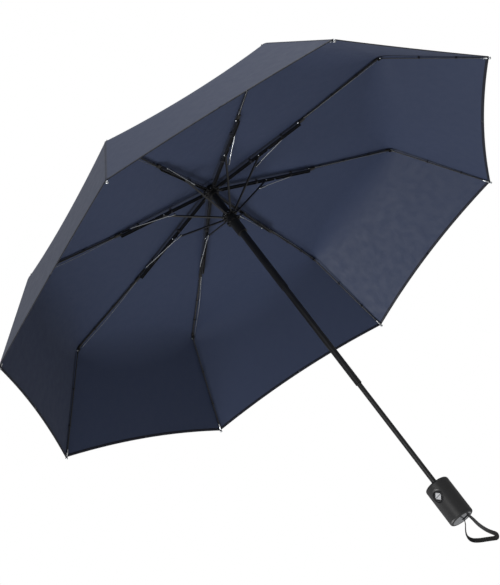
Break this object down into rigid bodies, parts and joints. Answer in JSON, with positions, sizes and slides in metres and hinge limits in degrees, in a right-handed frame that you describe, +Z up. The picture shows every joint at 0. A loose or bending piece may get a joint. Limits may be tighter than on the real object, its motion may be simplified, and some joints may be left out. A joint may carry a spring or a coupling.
{
  "type": "folding umbrella",
  "caption": "Compact automatic folding umbrella, open: octagonal fabric canopy on three-part folding ribs, telescoping shaft, sliding runner, cylindrical grip with push button and wrist strap.",
  "frame": {"origin": "middle of the hand grip, on the shaft's axis", "axes": "+Z up the shaft to the crown; +X under one rib; the ribs stand every 45 degrees about Z"},
  "size_m": [0.9638, 0.9638, 0.7691],
  "materials": {
    "handle_plastic": "black satin, softly rubberised",
    "trim_plastic": "black moulded",
    "runner_plastic": "black moulded, satin",
    "button_plastic": "black gloss with silver arrows",
    "insert_metal": "bright plated",
    "rivet_metal": "plain steel",
    "spring_steel": "spring steel",
    "strap_webbing": "black woven webbing",
    "tube_paint": "black gloss paint",
    "lower_tube_paint": "dark grey satin paint",
    "canopy_fabric": "navy plain-weave polyester, slight sheen",
    "rib_black": "black paint",
    "rod_silver": "bright drawn wire",
    "middle_rib_dark": "dark bronze-black",
    "outer_rib_black": "black paint"
  },
  "bodies": {
    "handle": {"handle_shell": "handle_plastic", "handle_collar": "trim_plastic", "tube_socket": "trim_plastic", "end_cap": "handle_plastic", "end_disc": "insert_metal", "strap_anchor_pin": "rivet_metal", "wrist_strap": "strap_webbing", "lower_tube": "lower_tube_paint", "button_spring": "spring_steel", "drive_spring": "spring_steel"},
    "middle_shaft": {"middle_tube": "tube_paint"},
    "upper_shaft": {"upper_tube": "tube_paint", "top_notch": "trim_plastic", "notch_wire": "rivet_metal", "top_cap": "trim_plastic", "canopy": "canopy_fabric"},
    "runner": {"runner": "runner_plastic", "runner_knuckles": "runner_plastic", "runner_wire": "rivet_metal"},
    "button": {"push_button": "button_plastic"},
    "main_rib_1": {"main_rib_1": "rib_black"},
    "stretcher_1": {"stretcher_1": "rib_black"},
    "pull_rod_1": {"pull_rod_1": "rod_silver"},
    "middle_rib_1": {"middle_rib_1": "middle_rib_dark"},
    "outer_rib_1": {"outer_rib_1": "outer_rib_black"},
    "main_rib_2": {"main_rib_2": "rib_black"},
    "stretcher_2": {"stretcher_2": "rib_black"},
    "pull_rod_2": {"pull_rod_2": "rod_silver"},
    "middle_rib_2": {"middle_rib_2": "middle_rib_dark"},
    "outer_rib_2": {"outer_rib_2": "outer_rib_black"},
    "main_rib_3": {"main_rib_3": "rib_black"},
    "stretcher_3": {"stretcher_3": "rib_black"},
    "pull_rod_3": {"pull_rod_3": "rod_silver"},
    "middle_rib_3": {"middle_rib_3": "middle_rib_dark"},
    "outer_rib_3": {"outer_rib_3": "outer_rib_black"},
    "main_rib_4": {"main_rib_4": "rib_black"},
    "stretcher_4": {"stretcher_4": "rib_black"},
    "pull_rod_4": {"pull_rod_4": "rod_silver"},
    "middle_rib_4": {"middle_rib_4": "middle_rib_dark"},
    "outer_rib_4": {"outer_rib_4": "outer_rib_black"},
    "main_rib_5": {"main_rib_5": "rib_black"},
    "stretcher_5": {"stretcher_5": "rib_black"},
    "pull_rod_5": {"pull_rod_5": "rod_silver"},
    "middle_rib_5": {"middle_rib_5": "middle_rib_dark"},
    "outer_rib_5": {"outer_rib_5": "outer_rib_black"},
    "main_rib_6": {"main_rib_6": "rib_black"},
    "stretcher_6": {"stretcher_6": "rib_black"},
    "pull_rod_6": {"pull_rod_6": "rod_silver"},
    "middle_rib_6": {"middle_rib_6": "middle_rib_dark"},
    "outer_rib_6": {"outer_rib_6": "outer_rib_black"},
    "main_rib_7": {"main_rib_7": "rib_black"},
    "stretcher_7": {"stretcher_7": "rib_black"},
    "pull_rod_7": {"pull_rod_7": "rod_silver"},
    "middle_rib_7": {"middle_rib_7": "middle_rib_dark"},
    "outer_rib_7": {"outer_rib_7": "outer_rib_black"},
    "main_rib_8": {"main_rib_8": "rib_black"},
    "stretcher_8": {"stretcher_8": "rib_black"},
    "pull_rod_8": {"pull_rod_8": "rod_silver"},
    "middle_rib_8": {"middle_rib_8": "middle_rib_dark"},
    "outer_rib_8": {"outer_rib_8": "outer_rib_black"}
  },
  "joints": [
    {"name": "lower_shaft_slide", "type": "slide", "parent": "handle", "child": "middle_shaft", "axis": [0, 0, -1], "range_m": [0, 0.1985]},
    {"name": "upper_shaft_slide", "type": "slide", "parent": "middle_shaft", "child": "upper_shaft", "axis": [0, 0, -1], "range_m": [0, 0.1985]},
    {"name": "runner_slide", "type": "slide", "parent": "upper_shaft", "child": "runner", "axis": [0, 0, -1], "range_m": [0, 0.13469], "deforming": ["canopy"]},
    {"name": "button_press", "type": "slide", "parent": "handle", "child": "button", "axis": [-0.5, 0.866, 0], "range_m": [0, 0.0015], "stiffness_N_per_m": 800, "deforming": ["button_spring"]},
    {"name": "main_fold_1", "type": "hinge", "parent": "upper_shaft", "child": "main_rib_1", "pos_m": [0.012, 0, 0.669], "axis": [0, 1, 0], "range_deg": [0, 82.12]},
    {"name": "stretcher_fold_1", "type": "hinge", "parent": "main_rib_1", "child": "stretcher_1", "pos_m": [0.10207, 0, 0.656], "axis": [0, 1, 0], "range_deg": [-146.21, 0]},
    {"name": "rod_fold_1", "type": "hinge", "parent": "stretcher_1", "child": "pull_rod_1", "pos_m": [0.08586, 0, 0.64812], "axis": [0, 1, 0], "range_deg": [0, 152.66]},
    {"name": "middle_fold_1", "type": "hinge", "parent": "main_rib_1", "child": "middle_rib_1", "pos_m": [0.18712, 0, 0.64833], "axis": [0, 1, 0], "range_deg": [-178.04, 0]},
    {"name": "outer_fold_1", "type": "hinge", "parent": "middle_rib_1", "child": "outer_rib_1", "pos_m": [0.356, 0, 0.628], "axis": [0, 1, 0], "range_deg": [0, 137.88]},
    {"name": "main_fold_2", "type": "hinge", "parent": "upper_shaft", "child": "main_rib_2", "pos_m": [0.00849, 0.00849, 0.669], "axis": [-0.7071, 0.7071, 0], "range_deg": [0, 82.12]},
    {"name": "stretcher_fold_2", "type": "hinge", "parent": "main_rib_2", "child": "stretcher_2", "pos_m": [0.07217, 0.07217, 0.656], "axis": [-0.7071, 0.7071, 0], "range_deg": [-146.21, 0]},
    {"name": "rod_fold_2", "type": "hinge", "parent": "stretcher_2", "child": "pull_rod_2", "pos_m": [0.06071, 0.06071, 0.64812], "axis": [-0.7071, 0.7071, 0], "range_deg": [0, 152.66]},
    {"name": "middle_fold_2", "type": "hinge", "parent": "main_rib_2", "child": "middle_rib_2", "pos_m": [0.13231, 0.13231, 0.64833], "axis": [-0.7071, 0.7071, 0], "range_deg": [-178.04, 0]},
    {"name": "outer_fold_2", "type": "hinge", "parent": "middle_rib_2", "child": "outer_rib_2", "pos_m": [0.25173, 0.25173, 0.628], "axis": [-0.7071, 0.7071, 0], "range_deg": [0, 137.88]},
    {"name": "main_fold_3", "type": "hinge", "parent": "upper_shaft", "child": "main_rib_3", "pos_m": [0, 0.012, 0.669], "axis": [-1, 0, 0], "range_deg": [0, 82.12]},
    {"name": "stretcher_fold_3", "type": "hinge", "parent": "main_rib_3", "child": "stretcher_3", "pos_m": [0, 0.10207, 0.656], "axis": [-1, 0, 0], "range_deg": [-146.21, 0]},
    {"name": "rod_fold_3", "type": "hinge", "parent": "stretcher_3", "child": "pull_rod_3", "pos_m": [0, 0.08586, 0.64812], "axis": [-1, 0, 0], "range_deg": [0, 152.66]},
    {"name": "middle_fold_3", "type": "hinge", "parent": "main_rib_3", "child": "middle_rib_3", "pos_m": [0, 0.18712, 0.64833], "axis": [-1, 0, 0], "range_deg": [-178.04, 0]},
    {"name": "outer_fold_3", "type": "hinge", "parent": "middle_rib_3", "child": "outer_rib_3", "pos_m": [0, 0.356, 0.628], "axis": [-1, 0, 0], "range_deg": [0, 137.88]},
    {"name": "main_fold_4", "type": "hinge", "parent": "upper_shaft", "child": "main_rib_4", "pos_m": [-0.00849, 0.00849, 0.669], "axis": [-0.7071, -0.7071, 0], "range_deg": [0, 82.12]},
    {"name": "stretcher_fold_4", "type": "hinge", "parent": "main_rib_4", "child": "stretcher_4", "pos_m": [-0.07217, 0.07217, 0.656], "axis": [-0.7071, -0.7071, 0], "range_deg": [-146.21, 0]},
    {"name": "rod_fold_4", "type": "hinge", "parent": "stretcher_4", "child": "pull_rod_4", "pos_m": [-0.06071, 0.06071, 0.64812], "axis": [-0.7071, -0.7071, 0], "range_deg": [0, 152.66]},
    {"name": "middle_fold_4", "type": "hinge", "parent": "main_rib_4", "child": "middle_rib_4", "pos_m": [-0.13231, 0.13231, 0.64833], "axis": [-0.7071, -0.7071, 0], "range_deg": [-178.04, 0]},
    {"name": "outer_fold_4", "type": "hinge", "parent": "middle_rib_4", "child": "outer_rib_4", "pos_m": [-0.25173, 0.25173, 0.628], "axis": [-0.7071, -0.7071, 0], "range_deg": [0, 137.88]},
    {"name": "main_fold_5", "type": "hinge", "parent": "upper_shaft", "child": "main_rib_5", "pos_m": [-0.012, 0, 0.669], "axis": [0, -1, 0], "range_deg": [0, 82.12]},
    {"name": "stretcher_fold_5", "type": "hinge", "parent": "main_rib_5", "child": "stretcher_5", "pos_m": [-0.10207, 0, 0.656], "axis": [0, -1, 0], "range_deg": [-146.21, 0]},
    {"name": "rod_fold_5", "type": "hinge", "parent": "stretcher_5", "child": "pull_rod_5", "pos_m": [-0.08586, 0, 0.64812], "axis": [0, -1, 0], "range_deg": [0, 152.66]},
    {"name": "middle_fold_5", "type": "hinge", "parent": "main_rib_5", "child": "middle_rib_5", "pos_m": [-0.18712, 0, 0.64833], "axis": [0, -1, 0], "range_deg": [-178.04, 0]},
    {"name": "outer_fold_5", "type": "hinge", "parent": "middle_rib_5", "child": "outer_rib_5", "pos_m": [-0.356, 0, 0.628], "axis": [0, -1, 0], "range_deg": [0, 137.88]},
    {"name": "main_fold_6", "type": "hinge", "parent": "upper_shaft", "child": "main_rib_6", "pos_m": [-0.00849, -0.00849, 0.669], "axis": [0.7071, -0.7071, 0], "range_deg": [0, 82.12]},
    {"name": "stretcher_fold_6", "type": "hinge", "parent": "main_rib_6", "child": "stretcher_6", "pos_m": [-0.07217, -0.07217, 0.656], "axis": [0.7071, -0.7071, 0], "range_deg": [-146.21, 0]},
    {"name": "rod_fold_6", "type": "hinge", "parent": "stretcher_6", "child": "pull_rod_6", "pos_m": [-0.06071, -0.06071, 0.64812], "axis": [0.7071, -0.7071, 0], "range_deg": [0, 152.66]},
    {"name": "middle_fold_6", "type": "hinge", "parent": "main_rib_6", "child": "middle_rib_6", "pos_m": [-0.13231, -0.13231, 0.64833], "axis": [0.7071, -0.7071, 0], "range_deg": [-178.04, 0]},
    {"name": "outer_fold_6", "type": "hinge", "parent": "middle_rib_6", "child": "outer_rib_6", "pos_m": [-0.25173, -0.25173, 0.628], "axis": [0.7071, -0.7071, 0], "range_deg": [0, 137.88]},
    {"name": "main_fold_7", "type": "hinge", "parent": "upper_shaft", "child": "main_rib_7", "pos_m": [0, -0.012, 0.669], "axis": [1, 0, 0], "range_deg": [0, 82.12]},
    {"name": "stretcher_fold_7", "type": "hinge", "parent": "main_rib_7", "child": "stretcher_7", "pos_m": [0, -0.10207, 0.656], "axis": [1, 0, 0], "range_deg": [-146.21, 0]},
    {"name": "rod_fold_7", "type": "hinge", "parent": "stretcher_7", "child": "pull_rod_7", "pos_m": [0, -0.08586, 0.64812], "axis": [1, 0, 0], "range_deg": [0, 152.66]},
    {"name": "middle_fold_7", "type": "hinge", "parent": "main_rib_7", "child": "middle_rib_7", "pos_m": [0, -0.18712, 0.64833], "axis": [1, 0, 0], "range_deg": [-178.04, 0]},
    {"name": "outer_fold_7", "type": "hinge", "parent": "middle_rib_7", "child": "outer_rib_7", "pos_m": [0, -0.356, 0.628], "axis": [1, 0, 0], "range_deg": [0, 137.88]},
    {"name": "main_fold_8", "type": "hinge", "parent": "upper_shaft", "child": "main_rib_8", "pos_m": [0.00849, -0.00849, 0.669], "axis": [0.7071, 0.7071, 0], "range_deg": [0, 82.12]},
    {"name": "stretcher_fold_8", "type": "hinge", "parent": "main_rib_8", "child": "stretcher_8", "pos_m": [0.07217, -0.07217, 0.656], "axis": [0.7071, 0.7071, 0], "range_deg": [-146.21, 0]},
    {"name": "rod_fold_8", "type": "hinge", "parent": "stretcher_8", "child": "pull_rod_8", "pos_m": [0.06071, -0.06071, 0.64812], "axis": [0.7071, 0.7071, 0], "range_deg": [0, 152.66]},
    {"name": "middle_fold_8", "type": "hinge", "parent": "main_rib_8", "child": "middle_rib_8", "pos_m": [0.13231, -0.13231, 0.64833], "axis": [0.7071, 0.7071, 0], "range_deg": [-178.04, 0]},
    {"name": "outer_fold_8", "type": "hinge", "parent": "middle_rib_8", "child": "outer_rib_8", "pos_m": [0.25173, -0.25173, 0.628], "axis": [0.7071, 0.7071, 0], "range_deg": [0, 137.88]}
  ],
  "couplings": [
    {"joint": "main_fold_1", "follows": "runner_slide", "rad_per_m": 10.639},
    {"joint": "stretcher_fold_1", "follows": "runner_slide", "rad_per_m": -18.944},
    {"joint": "rod_fold_1", "follows": "runner_slide", "rad_per_m": 19.779},
    {"joint": "middle_fold_1", "follows": "runner_slide", "rad_per_m": -23.069},
    {"joint": "outer_fold_1", "follows": "runner_slide", "rad_per_m": 17.865},
    {"joint": "main_fold_2", "follows": "runner_slide", "rad_per_m": 10.639},
    {"joint": "stretcher_fold_2", "follows": "runner_slide", "rad_per_m": -18.944},
    {"joint": "rod_fold_2", "follows": "runner_slide", "rad_per_m": 19.779},
    {"joint": "middle_fold_2", "follows": "runner_slide", "rad_per_m": -23.069},
    {"joint": "outer_fold_2", "follows": "runner_slide", "rad_per_m": 17.865},
    {"joint": "main_fold_3", "follows": "runner_slide", "rad_per_m": 10.639},
    {"joint": "stretcher_fold_3", "follows": "runner_slide", "rad_per_m": -18.944},
    {"joint": "rod_fold_3", "follows": "runner_slide", "rad_per_m": 19.779},
    {"joint": "middle_fold_3", "follows": "runner_slide", "rad_per_m": -23.069},
    {"joint": "outer_fold_3", "follows": "runner_slide", "rad_per_m": 17.865},
    {"joint": "main_fold_4", "follows": "runner_slide", "rad_per_m": 10.639},
    {"joint": "stretcher_fold_4", "follows": "runner_slide", "rad_per_m": -18.944},
    {"joint": "rod_fold_4", "follows": "runner_slide", "rad_per_m": 19.779},
    {"joint": "middle_fold_4", "follows": "runner_slide", "rad_per_m": -23.069},
    {"joint": "outer_fold_4", "follows": "runner_slide", "rad_per_m": 17.865},
    {"joint": "main_fold_5", "follows": "runner_slide", "rad_per_m": 10.639},
    {"joint": "stretcher_fold_5", "follows": "runner_slide", "rad_per_m": -18.944},
    {"joint": "rod_fold_5", "follows": "runner_slide", "rad_per_m": 19.779},
    {"joint": "middle_fold_5", "follows": "runner_slide", "rad_per_m": -23.069},
    {"joint": "outer_fold_5", "follows": "runner_slide", "rad_per_m": 17.865},
    {"joint": "main_fold_6", "follows": "runner_slide", "rad_per_m": 10.639},
    {"joint": "stretcher_fold_6", "follows": "runner_slide", "rad_per_m": -18.944},
    {"joint": "rod_fold_6", "follows": "runner_slide", "rad_per_m": 19.779},
    {"joint": "middle_fold_6", "follows": "runner_slide", "rad_per_m": -23.069},
    {"joint": "outer_fold_6", "follows": "runner_slide", "rad_per_m": 17.865},
    {"joint": "main_fold_7", "follows": "runner_slide", "rad_per_m": 10.639},
    {"joint": "stretcher_fold_7", "follows": "runner_slide", "rad_per_m": -18.944},
    {"joint": "rod_fold_7", "follows": "runner_slide", "rad_per_m": 19.779},
    {"joint": "middle_fold_7", "follows": "runner_slide", "rad_per_m": -23.069},
    {"joint": "outer_fold_7", "follows": "runner_slide", "rad_per_m": 17.865},
    {"joint": "main_fold_8", "follows": "runner_slide", "rad_per_m": 10.639},
    {"joint": "stretcher_fold_8", "follows": "runner_slide", "rad_per_m": -18.944},
    {"joint": "rod_fold_8", "follows": "runner_slide", "rad_per_m": 19.779},
    {"joint": "middle_fold_8", "follows": "runner_slide", "rad_per_m": -23.069},
    {"joint": "outer_fold_8", "follows": "runner_slide", "rad_per_m": 17.865}
  ]
}
